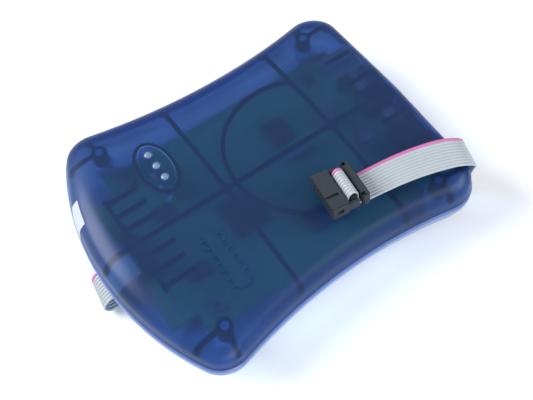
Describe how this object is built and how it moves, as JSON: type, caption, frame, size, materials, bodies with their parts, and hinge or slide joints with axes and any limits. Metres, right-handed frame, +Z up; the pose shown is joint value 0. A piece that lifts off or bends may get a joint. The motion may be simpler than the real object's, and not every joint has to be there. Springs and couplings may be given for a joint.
{
  "type": "microcontroller programmer",
  "caption": "Waisted two-part translucent blue programmer case with circuit board, USB socket, power switch and a flat cable folded over the top to its target socket",
  "frame": {"origin": "centre of the underside of the rubber feet's plane, under the middle of the case, on the surface it stands on", "axes": "+Z up, +Y towards the narrow end that holds the USB and power sockets, +X to the right when looking along +Y"},
  "size_m": [0.11, 0.1473, 0.0385],
  "materials": {
    "cover_plastic": "translucent frosted blue plastic with a satin sheen",
    "base_plastic": "translucent frosted blue plastic, satin",
    "label_paper": "plain white paper seal",
    "feet_rubber": "matte black rubber",
    "screw_steel": "zinc-plated steel",
    "board_laminate": "green solder mask, satin",
    "chip_plastic": "moulded black resin",
    "capacitor_metal": "satin aluminium can",
    "led_plastic": "white moulded plastic",
    "light_pipe_plastic": "clear acrylic",
    "connector_plastic": "moulded black plastic, slightly grained",
    "socket_steel": "bright nickel-plated steel",
    "tongue_plastic": "white moulded plastic",
    "rocker_plastic": "glossy dark red plastic",
    "cable_insulation": "light grey ribbed vinyl with one pink marker wire"
  },
  "bodies": {
    "case": {"top_cover": "cover_plastic", "bottom_shell": "base_plastic", "seal_label": "label_paper", "foot_narrow_right": "feet_rubber", "foot_narrow_left": "feet_rubber", "foot_wide_right": "feet_rubber", "foot_wide_left": "feet_rubber", "case_screw_narrow_right": "screw_steel", "case_screw_narrow_left": "screw_steel", "case_screw_wide_right": "screw_steel", "case_screw_wide_left": "screw_steel", "circuit_board": "board_laminate", "board_screw_narrow_right": "screw_steel", "board_screw_narrow_left": "screw_steel", "board_screw_wide_right": "screw_steel", "board_screw_wide_left": "screw_steel", "main_controller": "chip_plastic", "usb_controller": "chip_plastic", "memory_chip": "chip_plastic", "level_shifter_left": "chip_plastic", "level_shifter_right": "chip_plastic", "voltage_regulator": "chip_plastic", "capacitor_large": "capacitor_metal", "capacitor_small": "capacitor_metal", "crystal_can": "socket_steel", "indicator_led_left": "led_plastic", "indicator_led_middle": "led_plastic", "indicator_led_right": "led_plastic", "light_pipe_left": "light_pipe_plastic", "light_pipe_middle": "light_pipe_plastic", "light_pipe_right": "light_pipe_plastic", "cable_connector_base": "connector_plastic", "cable_connector_cover": "connector_plastic", "usb_socket_shell": "socket_steel", "usb_socket_tongue": "tongue_plastic", "power_jack_body": "connector_plastic", "power_jack_pin": "socket_steel", "power_switch_body": "connector_plastic", "flat_cable": "cable_insulation", "target_socket_body": "connector_plastic", "target_socket_cover": "connector_plastic", "target_strain_relief": "connector_plastic"},
    "rocker": {"power_switch_rocker": "rocker_plastic"}
  },
  "joints": [
    {"name": "power_switch_tilt", "type": "hinge", "parent": "case", "child": "rocker", "pos_m": [0.017, 0.0644, 0.0129], "axis": [0, 0, -1], "range_deg": [0, 20]}
  ]
}
